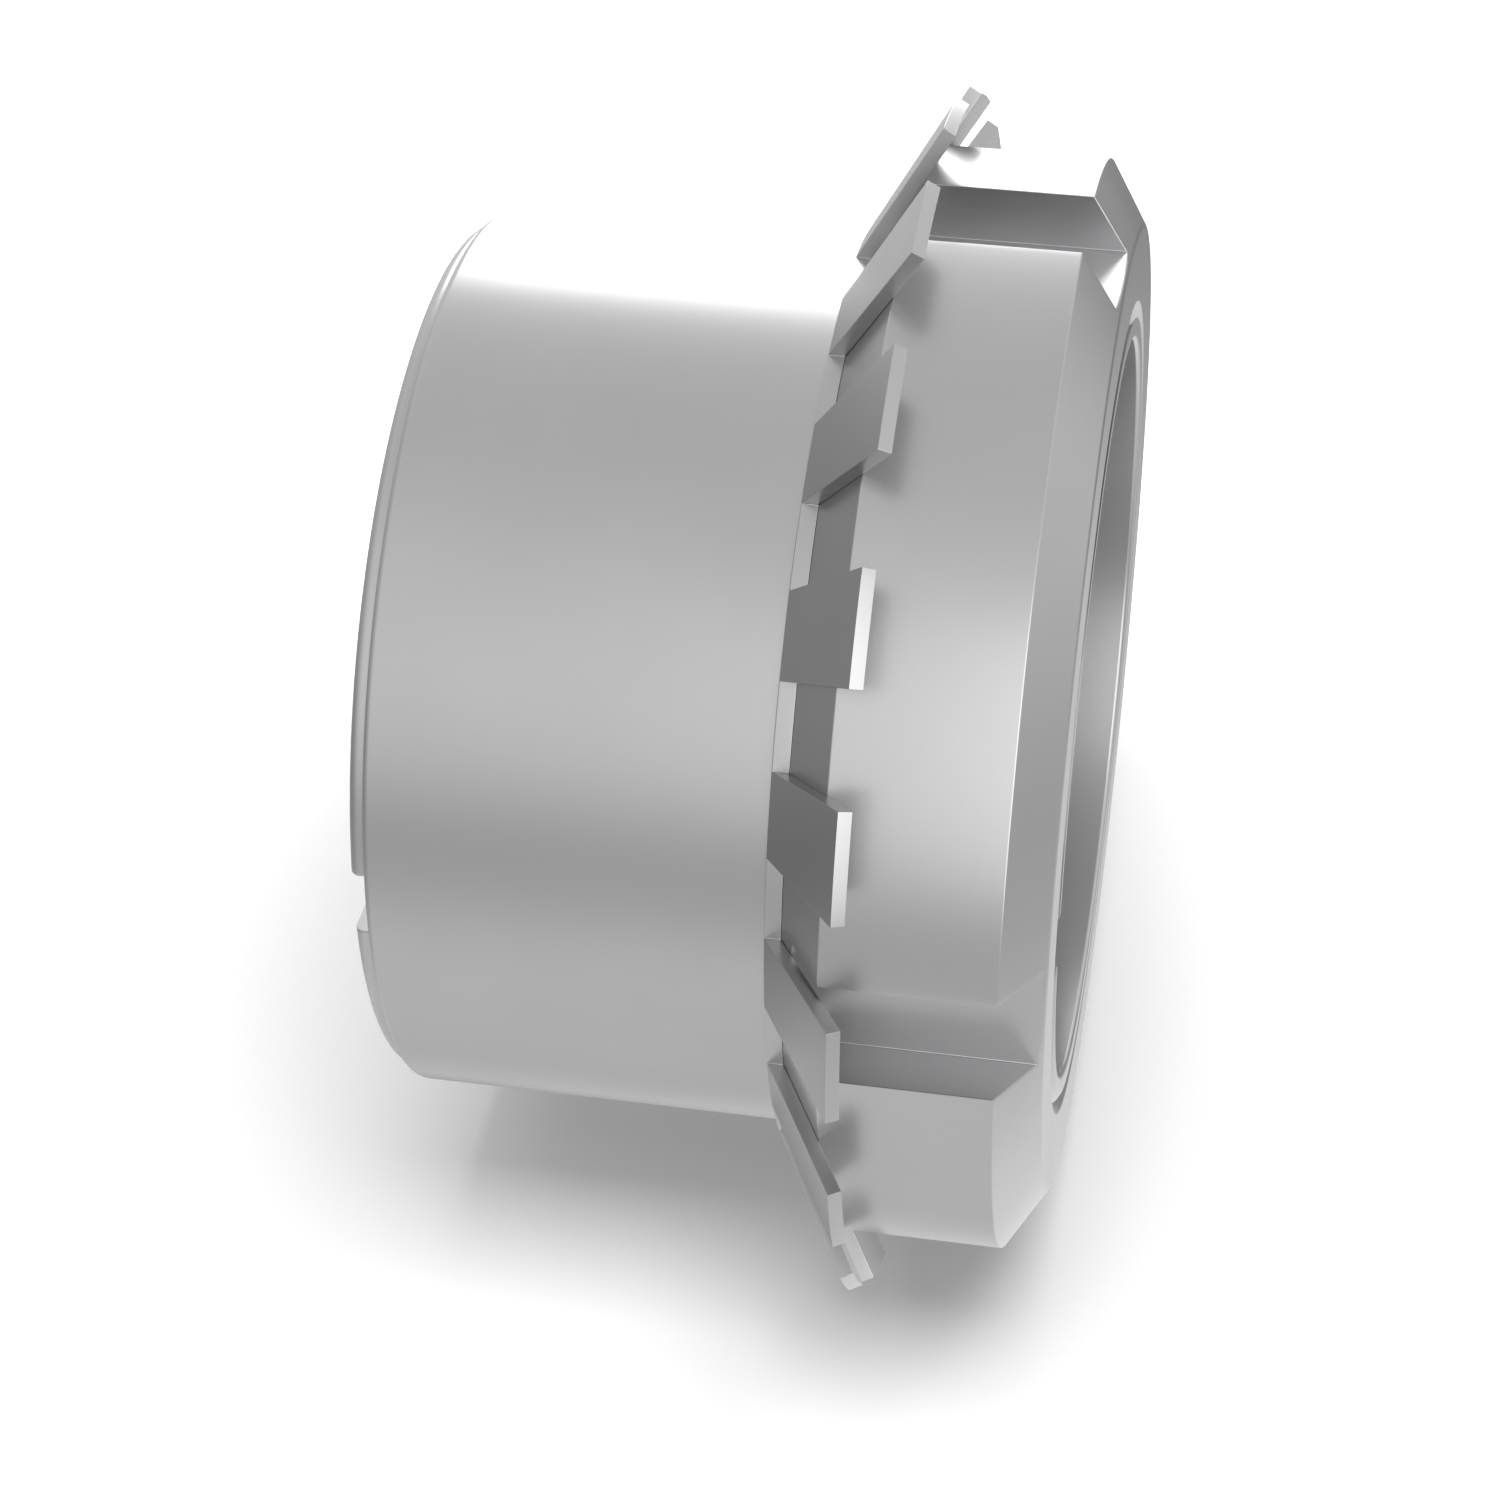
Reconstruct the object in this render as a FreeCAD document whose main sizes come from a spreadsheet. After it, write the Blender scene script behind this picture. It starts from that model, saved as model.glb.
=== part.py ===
import FreeCAD, Part
import os
import Sketcher

# Shaft locking assembly: a slit cone ring that grips the shaft, a slit taper ring around it that grips the hub,
# a tab washer keyed in the cone ring's slit, and a slotted nut that pushes the taper ring along the cone.
# The axis is +Z. The assembly stands on the large end of the inner ring, with the nut on top, and its origin is
# the centre of that end. The slit of the inner ring faces -Y. Lengths are in millimetres, angles in degrees.

OUTPUT_FOLDER = "parts"

# Driving sizes: name, value and what it is
SIZES = [
    ("shaft_bore_dia", 70.0, "bore of the inner ring, which grips the shaft"),
    ("bore_edge_break", 0.4, "small chamfer at both mouths of the bore"),
    ("slit_width", 6.2, "slit along the inner ring, also the keyway of the washer"),
    ("cone_wall", 5.95, "wall from the bore to the cone, at the cone's large end"),
    ("cone_half_angle", 4.0, "slope of the cone"),
    ("cone_corner_chamfer", 0.4, "chamfer at the large end of the cone"),
    ("thread_wall", 2.5, "wall from the bore to the outside of the thread"),
    ("thread_pitch", 2.0, "pitch of the thread, which also sets its depth and run-out groove"),
    ("thread_end_chamfer", 0.5, "chamfer at the free end of the thread"),
    ("end_step", 1.5, "how far the inner ring stands out of the taper ring"),
    ("taper_ring_step", 1.05, "how far the taper ring's outside lies beyond the cone's large end"),
    ("taper_ring_length", 36.1, "length of the taper ring"),
    ("taper_ring_slit", 4.0, "width of the slit along the taper ring"),
    ("taper_corner_radius", 0.65, "rounded leading corner of the taper ring"),
    ("taper_edge_break", 0.3, "small chamfers on the other edges of the taper ring"),
    ("washer_thickness", 1.5, "sheet thickness of the tab washer"),
    ("washer_rim_step", 2.15, "how far the washer's rim lies beyond the taper ring"),
    ("tab_length", 14.9, "length of a tab along its slope, from the rim"),
    ("tab_angle", 10.0, "width of a tab, as an angle about the axis"),
    ("tab_count", 18, "tabs around the washer"),
    ("tab_slope", 30.0, "slope of the bent tabs and of the nut's lower chamfer"),
    ("key_end_gap", 0.5, "how far the washer's inner key stays back from the shaft"),
    ("nut_wall", 14.0, "wall from the outside of the thread to the outside of the nut"),
    ("nut_thickness", 23.1, "height of the nut"),
    ("nut_chamfer_width", 5.9, "upper chamfer of the nut, measured across"),
    ("nut_chamfer_height", 3.65, "upper chamfer of the nut, measured along the axis"),
    ("nut_countersink", 1.0, "45 degree countersinks at both mouths of the nut's thread"),
    ("nut_slot_count", 4, "spanner slots around the nut"),
    ("nut_slot_width", 10.3, "width of a spanner slot"),
    ("nut_slot_depth", 5.45, "depth of a spanner slot from the outside of the nut"),
    ("cone_clearance", 0.05, "radial gap between cone and taper bore"),
    ("thread_clearance", 0.05, "radial gap between ring thread and nut thread"),
    ("washer_clearance", 0.2, "radial gap between thread and washer bore"),
    ("key_clearance", 0.2, "gap at each side of the washer's key in the slit"),
    ("tab_clearance", 0.1, "gap between tabs and the nut's lower chamfer"),
]

# Radii, each one wall further out than the last
BORE_RADIUS = "(Sizes.shaft_bore_dia / 2)"
THREAD_RADIUS = f"({BORE_RADIUS} + Sizes.thread_wall)"
CONE_RADIUS = f"({BORE_RADIUS} + Sizes.cone_wall)"
HUB_RADIUS = f"({CONE_RADIUS} + Sizes.taper_ring_step)"
RIM_RADIUS = f"({HUB_RADIUS} + Sizes.washer_rim_step)"
NUT_RADIUS = f"({THREAD_RADIUS} + Sizes.nut_wall)"

# Heights of the pieces, from the face that the assembly stands on
TAPER_RING_BASE = "Sizes.end_step"
WASHER_BASE = f"({TAPER_RING_BASE} + Sizes.taper_ring_length)"
NUT_BASE = f"({WASHER_BASE} + Sizes.washer_thickness)"
NUT_FACE = f"({NUT_BASE} + Sizes.nut_thickness)"

CONE_SLOPE = "tan(Sizes.cone_half_angle * 1deg)"
TAB_SLOPE = "(Sizes.tab_slope * 1deg)"

# Depth of a 60 degree thread and length of its run-out groove, both in pitches
THREAD_DEPTH = 0.6134
RUN_OUT_LENGTH = 1.5

# Largest share of a wall that a rounded corner may take
CORNER_SHARE = 0.8


def add_sizes(document):
    """Put the driving sizes in a sheet, one alias each."""
    sheet = document.addObject("Spreadsheet::Sheet", "Sizes")
    for row, (alias, value, meaning) in enumerate(SIZES, start=1):
        sheet.set(f"A{row}", alias)
        sheet.set(f"B{row}", str(value))
        sheet.set(f"C{row}", meaning)
        sheet.setAlias(f"B{row}", alias)
    document.recompute()


def add_body(document, name, base_height=None):
    """Make the body of one piece and stand it at its height in the assembly."""
    body = document.addObject("PartDesign::Body", name)
    body.Label = name
    if base_height is not None:
        body.setExpression("Placement.Base.z", base_height)
    return body


def origin_feature(body, role):
    """Find one plane or axis of a body's own origin."""
    return next(item for item in body.Origin.OriginFeatures if item.Role == role)


def add_outline(body, name, plane_role, corners):
    """Draw a closed outline whose corners are pairs of expressions, measured from the origin."""
    sketch = body.newObject("Sketcher::SketchObject", name)
    sketch.AttachmentSupport = [(origin_feature(body, plane_role), "")]
    sketch.MapMode = "FlatFace"
    count = len(corners)
    # The corners start on a circle, and the constraints carry them to their places
    start_radius = 50.0
    turn = FreeCAD.Rotation(FreeCAD.Vector(0, 0, 1), 360.0 / count)
    start = FreeCAD.Vector(start_radius, 0, 0)
    for index in range(count):
        end = turn.multVec(start)
        sketch.addGeometry(Part.LineSegment(start, end), False)
        start = end
    for index in range(count):
        sketch.addConstraint(Sketcher.Constraint("Coincident", index, 2, (index + 1) % count, 1))
    for index, (across, up) in enumerate(corners):
        for kind, expression in (("DistanceX", across), ("DistanceY", up)):
            constraint = sketch.addConstraint(Sketcher.Constraint(kind, index, 1, 1.0))
            sketch.setExpression(f"Constraints[{constraint}]", expression)
    return sketch


def turn_outline(body, name, corners):
    """Turn an outline, given as radius and height, all the way round the axis."""
    sketch = add_outline(body, name + "Outline", "XZ_Plane", corners)
    turned = body.newObject("PartDesign::Revolution", name)
    turned.Profile = sketch
    turned.ReferenceAxis = (sketch, ["V_Axis"])
    turned.Angle = 360.0
    return turned


def cut_slot(body, name, width, near, far, length):
    """Cut a straight slot along the piece, between two distances from the axis along Y."""
    half = f"{width} / 2"
    sketch = add_outline(body, name + "Outline", "XY_Plane", [
        (f"-{half}", near), (half, near), (half, far), (f"-{half}", far)])
    slot = body.newObject("PartDesign::Pocket", name)
    slot.Profile = sketch
    slot.setExpression("Length", length)
    slot.Reversed = True
    return slot


def repeat_about_axis(body, name, feature, count):
    """Repeat one feature evenly round the axis."""
    pattern = body.newObject("PartDesign::PolarPattern", name)
    pattern.Originals = [feature]
    pattern.Axis = (origin_feature(body, "Z_Axis"), [""])
    pattern.Angle = 360.0
    pattern.setExpression("Occurrences", count)
    body.Tip = pattern
    return pattern


def outer_foot_edges(shape):
    """Name the outermost circular edges at the foot of a body, in its own frame."""
    near = 1e-4
    circles = {}
    for number, edge in enumerate(shape.Edges, start=1):
        is_circle = edge.Curve.TypeId == "Part::GeomCircle"
        if is_circle and abs(edge.Curve.Center.z) < near:
            circles[f"Edge{number}"] = edge.Curve.Radius
    largest = max(circles.values())
    return [name for name, radius in circles.items() if largest - radius < near]


def make_inner_ring(document):
    """Inner ring: shaft bore, cone outside, run-out groove, thread, and one slit along its whole length."""
    body = add_body(document, "inner_ring")
    edge = "Sizes.bore_edge_break"
    corner = "Sizes.cone_corner_chamfer"
    thread_end = "Sizes.thread_end_chamfer"
    groove = f"({THREAD_RADIUS} - {THREAD_DEPTH} * Sizes.thread_pitch)"
    groove_foot = f"({WASHER_BASE} - {RUN_OUT_LENGTH} * Sizes.thread_pitch)"
    turn_outline(body, "TurnedRing", [
        (f"{BORE_RADIUS} + {edge}", "0mm"),
        (f"{CONE_RADIUS} - {corner}", "0mm"),
        (f"{CONE_RADIUS} - {corner} * {CONE_SLOPE}", corner),
        (f"{CONE_RADIUS} - {groove_foot} * {CONE_SLOPE}", groove_foot),
        (groove, groove_foot),
        (groove, WASHER_BASE),
        (THREAD_RADIUS, WASHER_BASE),
        (THREAD_RADIUS, f"{NUT_FACE} - {thread_end}"),
        (f"{THREAD_RADIUS} - {thread_end}", NUT_FACE),
        (f"{BORE_RADIUS} + {edge}", NUT_FACE),
        (BORE_RADIUS, f"{NUT_FACE} - {edge}"),
        (BORE_RADIUS, edge),
    ])
    cut_slot(body, "Slit", "Sizes.slit_width", f"-2 * {CONE_RADIUS}", "0mm", NUT_FACE)
    return body


def make_taper_ring(document):
    """Taper ring: plain cylinder for the hub bore, taper bore on the cone, one slit opposite the inner ring's."""
    body = add_body(document, "outer_ring", TAPER_RING_BASE)
    edge = "Sizes.taper_edge_break"
    top = "Sizes.taper_ring_length"
    foot_bore = f"({CONE_RADIUS} - {TAPER_RING_BASE} * {CONE_SLOPE} + Sizes.cone_clearance)"
    top_bore = f"({foot_bore} - {top} * {CONE_SLOPE})"
    turn_outline(body, "TurnedRing", [
        (foot_bore, "0mm"),
        (HUB_RADIUS, "0mm"),
        (HUB_RADIUS, f"{top} - {edge}"),
        (f"{HUB_RADIUS} - {edge}", top),
        (f"{top_bore} + {edge}", top),
        (f"{top_bore} + {edge} * {CONE_SLOPE}", f"{top} - {edge}"),
    ])
    document.recompute()
    turned = body.Tip
    rounded = body.newObject("PartDesign::Fillet", "LeadingCorner")
    rounded.Base = (turned, outer_foot_edges(turned.Shape))
    rounded.setExpression("Radius", f"min(Sizes.taper_corner_radius; {CORNER_SHARE} * ({HUB_RADIUS} - {foot_bore}))")
    cut_slot(body, "Slit", "Sizes.taper_ring_slit", "0mm", f"2 * {HUB_RADIUS}", top)
    return body


def make_lock_washer(document):
    """Tab washer: a flat ring, tabs bent up round its rim, and one inner key in the slit of the inner ring."""
    body = add_body(document, "lock_washer", WASHER_BASE)
    hole = f"({THREAD_RADIUS} + Sizes.washer_clearance)"
    thick = "Sizes.washer_thickness"
    turn_outline(body, "Ring", [(hole, "0mm"), (RIM_RADIUS, "0mm"), (RIM_RADIUS, thick), (hole, thick)])

    # A tab leaves the rim with the sheet's height there and ends square to its slope
    tip_radius = f"({RIM_RADIUS} + Sizes.tab_length * cos({TAB_SLOPE}))"
    tip_height = f"Sizes.tab_length * sin({TAB_SLOPE})"
    tab_thickness = f"{thick} * cos({TAB_SLOPE})"
    tab_outline = add_outline(body, "TabOutline", "YZ_Plane", [
        (hole, "0mm"),
        (RIM_RADIUS, "0mm"),
        (tip_radius, tip_height),
        (f"{tip_radius} - {tab_thickness} * sin({TAB_SLOPE})", f"{tip_height} + {tab_thickness} * cos({TAB_SLOPE})"),
        (RIM_RADIUS, thick),
        (hole, thick),
    ])
    tab = body.newObject("PartDesign::Revolution", "Tab")
    tab.Profile = tab_outline
    tab.ReferenceAxis = (tab_outline, ["V_Axis"])
    tab.Midplane = True
    tab.setExpression("Angle", "Sizes.tab_angle * 1deg")
    repeat_about_axis(body, "Tabs", tab, "Sizes.tab_count")

    half_key = "(Sizes.slit_width / 2 - Sizes.key_clearance)"
    key_end = f"-({BORE_RADIUS} + Sizes.key_end_gap)"
    key_root = f"-({hole} + {RIM_RADIUS}) / 2"
    key_outline = add_outline(body, "KeyOutline", "XY_Plane", [
        (f"-{half_key}", key_root), (half_key, key_root), (half_key, key_end), (f"-{half_key}", key_end)])
    key = body.newObject("PartDesign::Pad", "Key")
    key.Profile = key_outline
    key.setExpression("Length", thick)
    return body


def make_lock_nut(document):
    """Slotted nut: round, chamfered on both sides, with straight spanner slots and a countersunk thread."""
    body = add_body(document, "lock_nut", NUT_BASE)
    thread = f"({THREAD_RADIUS} + Sizes.thread_clearance)"
    sink = "Sizes.nut_countersink"
    top = "Sizes.nut_thickness"
    foot_radius = f"({RIM_RADIUS} - Sizes.tab_clearance / sin({TAB_SLOPE}))"
    turn_outline(body, "TurnedNut", [
        (thread, sink),
        (f"{thread} + {sink}", "0mm"),
        (foot_radius, "0mm"),
        (NUT_RADIUS, f"({NUT_RADIUS} - {foot_radius}) * tan({TAB_SLOPE})"),
        (NUT_RADIUS, f"{top} - Sizes.nut_chamfer_height"),
        (f"{NUT_RADIUS} - Sizes.nut_chamfer_width", top),
        (f"{thread} + {sink}", top),
        (thread, f"{top} - {sink}"),
    ])
    slot = cut_slot(body, "SpannerSlot", "Sizes.nut_slot_width", f"-2 * {NUT_RADIUS}",
                    f"-({NUT_RADIUS} - Sizes.nut_slot_depth)", top)
    repeat_about_axis(body, "SpannerSlots", slot, "Sizes.nut_slot_count")
    return body


def check_document(document, bodies):
    """Stop if any feature failed or any piece is not one sound solid."""
    for item in document.Objects:
        if "Invalid" in item.State or "Error" in item.State:
            raise RuntimeError(f"{item.Label} did not rebuild: {item.State}")
    for body in bodies:
        if body.Shape.isNull() or not body.Shape.isValid() or len(body.Shape.Solids) != 1:
            raise RuntimeError(f"{body.Label} is not one valid solid")


def main():
    """Build the four pieces, check them and write one file each."""
    document = FreeCAD.newDocument("ShaftLockingAssembly")
    add_sizes(document)
    bodies = [
        make_inner_ring(document),
        make_taper_ring(document),
        make_lock_washer(document),
        make_lock_nut(document),
    ]
    document.recompute()
    check_document(document, bodies)
    os.makedirs(OUTPUT_FOLDER, exist_ok=True)
    for body in bodies:
        box = body.Shape.BoundBox
        print(f"{body.Label}: {body.Shape.Volume:.1f} mm3, heights {box.ZMin:.2f} to {box.ZMax:.2f}")
        body.Shape.exportStep(os.path.join(OUTPUT_FOLDER, body.Label + ".step"))


main()
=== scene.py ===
"""Dress the shaft locking assembly: two turned rings, tab washer, slotted nut, studio and camera."""

import logging
import math
from dataclasses import dataclass, field
from enum import Enum
from typing import Callable, Protocol

import bpy
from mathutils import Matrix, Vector


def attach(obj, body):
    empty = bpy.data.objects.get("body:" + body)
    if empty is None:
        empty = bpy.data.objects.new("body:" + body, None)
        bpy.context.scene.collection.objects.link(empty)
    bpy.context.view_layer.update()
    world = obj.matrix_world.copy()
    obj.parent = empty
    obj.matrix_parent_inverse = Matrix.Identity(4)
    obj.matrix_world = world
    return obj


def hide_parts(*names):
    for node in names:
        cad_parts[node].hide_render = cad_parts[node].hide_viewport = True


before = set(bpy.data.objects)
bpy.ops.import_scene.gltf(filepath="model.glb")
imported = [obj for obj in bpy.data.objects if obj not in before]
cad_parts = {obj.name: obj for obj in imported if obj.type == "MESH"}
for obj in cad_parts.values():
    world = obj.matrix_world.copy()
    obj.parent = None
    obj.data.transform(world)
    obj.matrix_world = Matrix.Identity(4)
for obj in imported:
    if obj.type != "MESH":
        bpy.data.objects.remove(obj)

log = logging.getLogger("shaft_locking_assembly")

# Sizes below are in millimetres, and Blender works in metres
MM = 0.001

# A merge distance well under the finest edge, in metres
MERGE_DISTANCE = 1e-6

# How far a cutting block reaches past the piece it cuts
OVERSHOOT = 1.0

# How far a face's middle may lie behind the wall it belongs to, and a corner from a limit that it lies on
WALL_TOLERANCE = 0.02
CORNER_TOLERANCE = 0.1

# The least angle at which an edge is broken, and the least one that is still shaded sharp
BROKEN_ANGLE = math.radians(20.0)
SHARP_ANGLE = math.radians(40.0)

# The thread that the inner ring and the nut share
THREAD_PITCH = 2.0
THREAD_CREST = 37.5
THREAD_FLANK = math.radians(30.0)
THREAD_TURNS = 14

# The usual distance between tool marks, how little a straight mark changes along its length, and the size of
# a cloud in the film of handling
MARK_SPACING = 0.1
STREAK_SCALE = 0.06
FILM_SIZE = 9.0


class Lay(Enum):
    """The direction that the tool marks of a surface run in."""

    TURNED = "rings around the axis"
    ROLLED = "streaks along the sheet"
    MILLED = "streaks along the axis"


class Side(Enum):
    """The side that a thread tool cuts on."""

    OUTSIDE = 1.0
    INSIDE = -1.0


@dataclass(frozen=True)
class Corner:
    """One corner of a turned outline.

    A corner with a rounding becomes an arc, and one without stays for break_edges.
    """

    radius: float
    height: float
    rounding: float = 0.0
    steps: int = 6


@dataclass(frozen=True)
class SteelFinish:
    """How one kind of steel surface looks, with its tool marks in millimetres."""

    name: str
    colour: tuple[float, float, float]
    shade: tuple[float, float, float]
    roughness: float
    roughness_swing: float
    lay: Lay
    mark_spacing: float
    mark_depth: float


TURNED_STEEL = SteelFinish(
    name="turned_steel",
    colour=(0.45, 0.45, 0.455),
    shade=(0.438, 0.438, 0.444),
    roughness=0.3,
    roughness_swing=0.015,
    lay=Lay.TURNED,
    mark_spacing=0.09,
    mark_depth=0.0012,
)
SHEET_STEEL = SteelFinish(
    name="sheet_steel",
    colour=(0.44, 0.44, 0.445),
    shade=(0.428, 0.428, 0.434),
    roughness=0.32,
    roughness_swing=0.02,
    lay=Lay.ROLLED,
    mark_spacing=0.12,
    mark_depth=0.001,
)
NUT_STEEL = SteelFinish(
    name="nut_steel",
    colour=(0.455, 0.455, 0.46),
    shade=(0.443, 0.443, 0.449),
    roughness=0.3,
    roughness_swing=0.015,
    lay=Lay.TURNED,
    mark_spacing=0.12,
    mark_depth=0.0012,
)
# The bore's finish is ground, with finer marks, and its lighter colour is painted light that brightens the
# inside of the bore
GROUND_STEEL_WITH_PAINTED_LIGHT = SteelFinish(
    name="ground_steel_with_painted_light",
    colour=(0.5, 0.5, 0.505),
    shade=(0.487, 0.487, 0.493),
    roughness=0.36,
    roughness_swing=0.015,
    lay=Lay.TURNED,
    mark_spacing=0.05,
    mark_depth=0.0006,
)
MILLED_STEEL = SteelFinish(
    name="milled_steel",
    colour=(0.455, 0.455, 0.46),
    shade=(0.443, 0.443, 0.449),
    roughness=0.3,
    roughness_swing=0.015,
    lay=Lay.MILLED,
    mark_spacing=0.1,
    mark_depth=0.0012,
)


@dataclass(frozen=True)
class RoomPatch:
    """A part of the room that is darker or brighter than its bands, as the steel reflects it.

    The patch fades in from the cosine at its rim to the one at its core, where the bands are times its
    level.
    """

    direction: tuple[float, float, float]
    rim: float
    core: float
    level: float


def clear_selection() -> None:
    """Leave edit mode and deselect everything."""
    if bpy.context.object is not None and bpy.context.object.mode != "OBJECT":
        bpy.ops.object.mode_set(mode="OBJECT")
    bpy.ops.object.select_all(action="DESELECT")


def make_active(piece: bpy.types.Object) -> None:
    """Select one piece alone and make it the active one.

    Args:
        piece: The piece to work on.
    """
    clear_selection()
    piece.select_set(True)
    bpy.context.view_layer.objects.active = piece


def settle(piece: bpy.types.Object) -> None:
    """Move a piece's place, turn and scale into its mesh.

    Args:
        piece: The piece to settle.
    """
    make_active(piece)
    bpy.ops.object.transform_apply(location=True, rotation=True, scale=True)


def rounded_outline(corners: list[Corner]) -> list[Vector]:
    """Replace each rounded corner of a closed outline by the points of its arc.

    Args:
        corners: The corners in order.

    Returns:
        The points of the outline, as radius and height in metres.
    """
    points: list[Vector] = []
    for index, corner in enumerate(corners):
        here = Vector((corner.radius, corner.height))
        if corner.rounding == 0.0:
            points.append(here * MM)
            continue
        last = corners[index - 1]
        following = corners[(index + 1) % len(corners)]
        back = (Vector((last.radius, last.height)) - here).normalized()
        ahead = (Vector((following.radius, following.height)) - here).normalized()
        half_angle = back.angle(ahead) / 2.0
        reach = corner.rounding / math.tan(half_angle)
        centre = here + (back + ahead).normalized() * corner.rounding / math.sin(half_angle)
        start = here + back * reach - centre
        end = here + ahead * reach - centre
        for step in range(corner.steps + 1):
            spoke = start.lerp(end, step / corner.steps).normalized() * corner.rounding
            points.append((centre + spoke) * MM)
    return points


def turn_on_lathe(name: str, corners: list[Corner], columns: int, offset: float = 0.0) -> bpy.types.Object:
    """Carry a ring of edges along a closed outline, which gives a turned piece.

    Args:
        name: The name of the piece.
        corners: The outline, seen on one side of the axis.
        columns: Faces around the axis.
        offset: Turn of the columns about the axis, in degrees.

    Returns:
        The piece, closed, with its faces pointing outwards.
    """
    outline = rounded_outline(corners)
    clear_selection()
    bpy.ops.mesh.primitive_circle_add(vertices=columns, radius=outline[0].x)
    piece = bpy.context.object
    piece.name = name
    piece.data.name = name
    bpy.ops.object.mode_set(mode="EDIT")
    bpy.ops.mesh.select_all(action="SELECT")
    bpy.ops.transform.translate(value=(0.0, 0.0, outline[0].y))
    bpy.ops.transform.rotate(value=math.radians(offset), orient_axis="Z", center_override=(0.0, 0.0, 0.0))
    for here, following in zip(outline, outline[1:] + outline[:1]):
        lift = following.y - here.y
        growth = following.x / here.x
        bpy.ops.mesh.extrude_region_move(TRANSFORM_OT_translate={"value": (0.0, 0.0, lift)})
        bpy.ops.transform.resize(value=(growth, growth, 1.0), center_override=(0.0, 0.0, 0.0))
    close_up()
    return piece


def close_up() -> None:
    """Merge doubles, point the faces outwards and leave edit mode."""
    bpy.ops.mesh.select_all(action="SELECT")
    bpy.ops.mesh.remove_doubles(threshold=MERGE_DISTANCE)
    bpy.ops.mesh.normals_make_consistent(inside=False)
    bpy.ops.object.mode_set(mode="OBJECT")


def add_block(name: str, low: tuple[float, float, float],
              high: tuple[float, float, float]) -> bpy.types.Object:
    """Add a block between two corners, to cut with or to join on.

    Args:
        name: The name of the block.
        low: Lowest corner, in millimetres.
        high: Highest corner, in millimetres.

    Returns:
        The block, with its place in its mesh.
    """
    clear_selection()
    middle = (Vector(low) + Vector(high)) / 2.0 * MM
    bpy.ops.mesh.primitive_cube_add(size=1.0, location=middle)
    block = bpy.context.object
    block.name = name
    block.scale = (Vector(high) - Vector(low)) * MM
    settle(block)
    return block


def combine(piece: bpy.types.Object, tool: bpy.types.Object, operation: str) -> None:
    """Cut a tool out of a piece or join it on, and throw the tool away.

    Args:
        piece: The piece that stays.
        tool: The shape to cut away or join on.
        operation: DIFFERENCE or UNION.
    """
    make_active(piece)
    bpy.ops.object.modifier_add(type="BOOLEAN")
    modifier = piece.modifiers[-1]
    modifier.operation = operation
    modifier.solver = "EXACT"
    modifier.object = tool
    bpy.ops.object.modifier_apply(modifier=modifier.name)
    bpy.data.objects.remove(tool)


def break_edges(piece: bpy.types.Object, width: float, can_reach: Callable[[Vector], bool]) -> None:
    """Round the sharp edges of a piece a little, as deburring does.

    Args:
        piece: The piece to deburr.
        width: Width of the rounding, in millimetres.
        can_reach: Tells whether the deburring tool reaches a point, in metres.
    """
    make_active(piece)
    bpy.ops.object.mode_set(mode="EDIT")
    bpy.ops.mesh.select_mode(type="EDGE")
    bpy.ops.mesh.select_all(action="DESELECT")
    bpy.ops.mesh.edges_select_sharp(sharpness=BROKEN_ANGLE)
    bpy.ops.object.mode_set(mode="OBJECT")
    vertices = piece.data.vertices
    for edge in piece.data.edges:
        edge.select = edge.select and all(can_reach(vertices[index].co) for index in edge.vertices)
    bpy.ops.object.mode_set(mode="EDIT")
    bpy.ops.mesh.bevel(offset=width * MM, segments=2, affect="EDGES", clamp_overlap=False)
    bpy.ops.object.mode_set(mode="OBJECT")


def smooth(piece: bpy.types.Object) -> None:
    """Shade a piece smooth, with its large faces flat and its sharp edges sharp.

    Args:
        piece: The piece to shade.
    """
    make_active(piece)
    bpy.ops.object.shade_smooth_by_angle(angle=SHARP_ANGLE)
    bpy.ops.object.modifier_add(type="WEIGHTED_NORMAL")
    modifier = piece.modifiers[-1]
    modifier.keep_sharp = True
    bpy.ops.object.modifier_apply(modifier=modifier.name)


def add_thread_tool(side: Side, tip_radius: float, tip_width: float, height: float,
                    middle: float) -> bpy.types.Object:
    """Sweep a V along a right-hand helix, to cut a thread with.

    Args:
        side: OUTSIDE cuts a bolt's thread, with the tip towards the axis, and INSIDE a nut's.
        tip_radius: Distance of the tip from the axis.
        tip_width: Width of the flat tip.
        height: Height of the V across the thread.
        middle: Height of the tip's middle where the helix passes -Y, at its first turn.

    Returns:
        The closed helical tool.
    """
    steps_per_turn = 120
    far_radius = tip_radius + side.value * height
    half_tip = tip_width / 2.0
    half_far = half_tip + height * math.tan(THREAD_FLANK)
    clear_selection()
    bpy.ops.mesh.primitive_plane_add(size=2.0)
    tool = bpy.context.object
    tool.name = "thread_tool"
    # The plane's corners run low left, low right, high left, high right
    low = ((tip_radius, -half_tip), (far_radius, -half_far))
    high = ((tip_radius, half_tip), (far_radius, half_far))
    for vertex, (radius, along) in zip(tool.data.vertices, low + high):
        vertex.co = Vector((0.0, -radius, middle + along)) * MM
    bpy.ops.object.mode_set(mode="EDIT")
    bpy.ops.mesh.delete(type="ONLY_FACE")
    bpy.ops.object.mode_set(mode="OBJECT")
    bpy.ops.object.modifier_add(type="SCREW")
    modifier = tool.modifiers[-1]
    modifier.axis = "Z"
    modifier.angle = math.tau
    modifier.screw_offset = THREAD_PITCH * MM
    modifier.iterations = THREAD_TURNS
    modifier.steps = steps_per_turn
    modifier.render_steps = steps_per_turn
    bpy.ops.object.modifier_apply(modifier=modifier.name)
    bpy.ops.object.mode_set(mode="EDIT")
    bpy.ops.mesh.select_all(action="SELECT")
    bpy.ops.mesh.fill_holes(sides=4)
    close_up()
    return tool


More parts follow.
